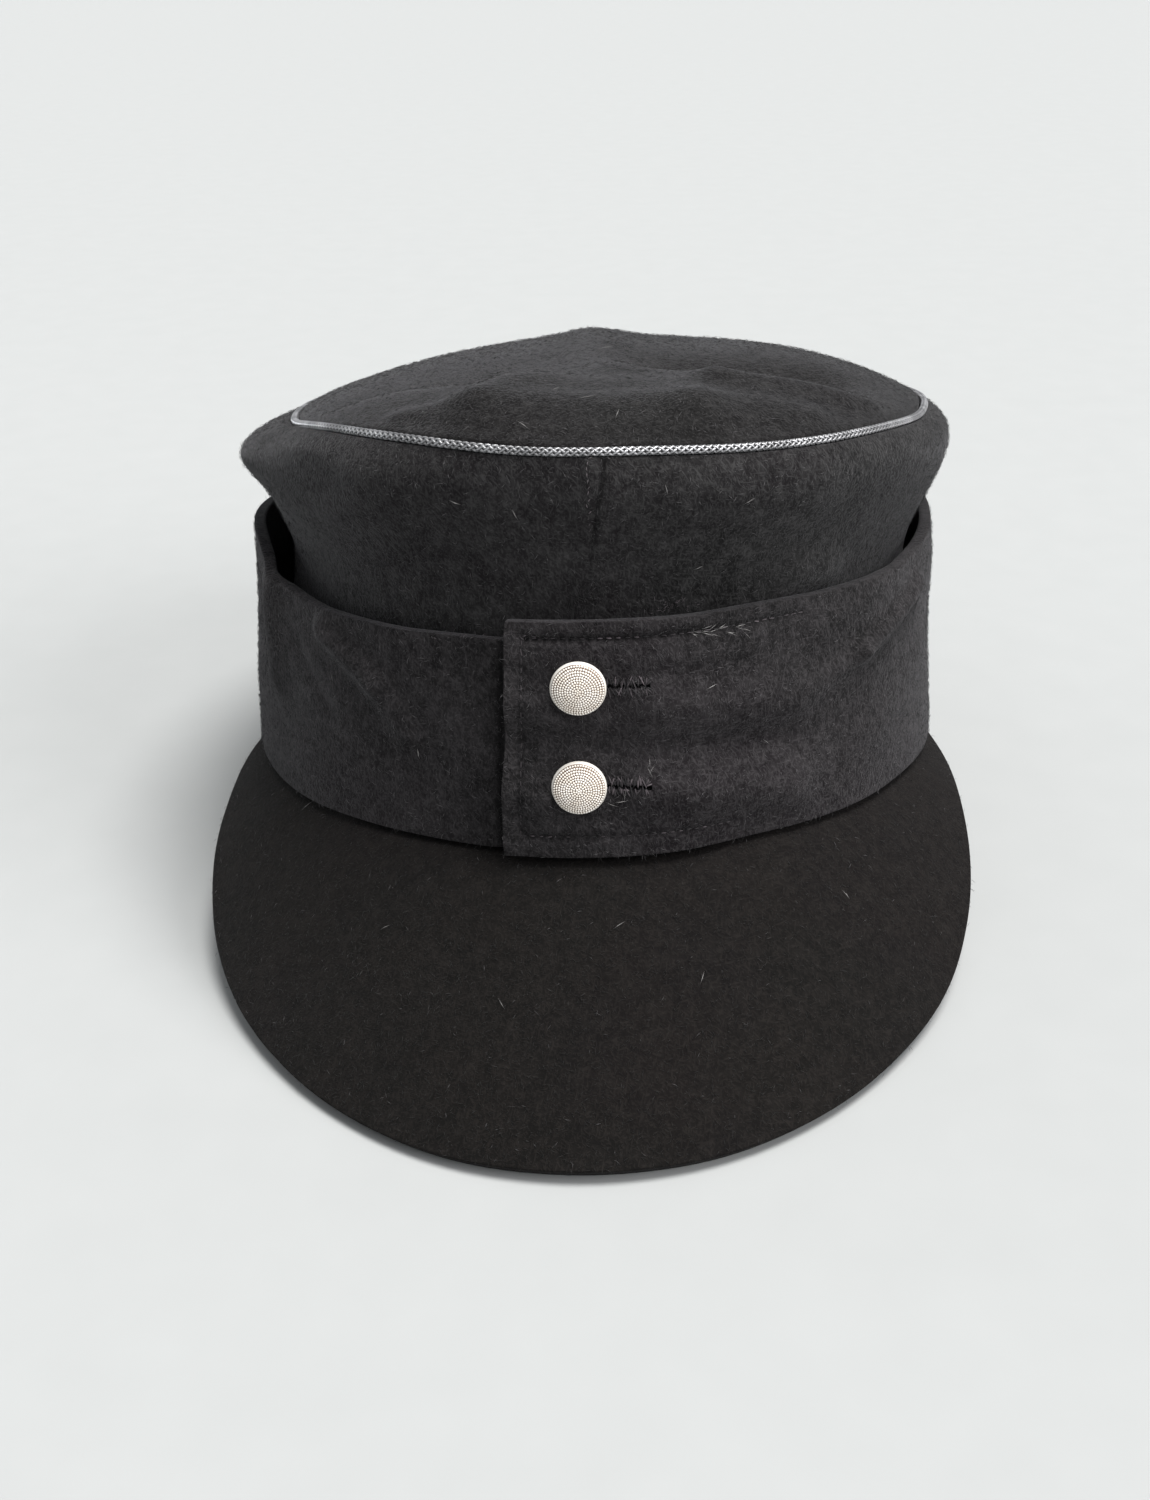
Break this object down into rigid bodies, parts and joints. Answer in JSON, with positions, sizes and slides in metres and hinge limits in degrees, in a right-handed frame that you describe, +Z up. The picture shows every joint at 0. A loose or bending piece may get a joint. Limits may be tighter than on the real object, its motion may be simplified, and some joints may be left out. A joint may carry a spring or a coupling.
{
  "type": "field cap",
  "caption": "Soft wool field cap with a piped crown seam, a turned-up flap buttoned in front and a stiff cloth-covered peak.",
  "frame": {"origin": "on the surface that the cap rests on, under the middle of its outline", "axes": "+Z up from the surface, the peak points along -Y, +X to the right seen from the front"},
  "size_m": [0.1906, 0.2836, 0.1346],
  "materials": {
    "crown_wool": "matt felted wool cloth",
    "flap_wool": "matt felted wool cloth, doubled and stitched near its edge",
    "peak_wool": "matt felted wool cloth over a stiff board",
    "silver_braid": "twisted metallic thread",
    "button_metal": "matt silver, pebbled all over"
  },
  "bodies": {
    "root": {"crown_side_left": "crown_wool", "crown_side_right": "crown_wool", "crown_top": "crown_wool", "crown_piping": "silver_braid", "flap_left": "flap_wool", "flap_right": "flap_wool", "peak": "peak_wool", "button_upper": "button_metal", "button_lower": "button_metal"}
  },
  "joints": []
}
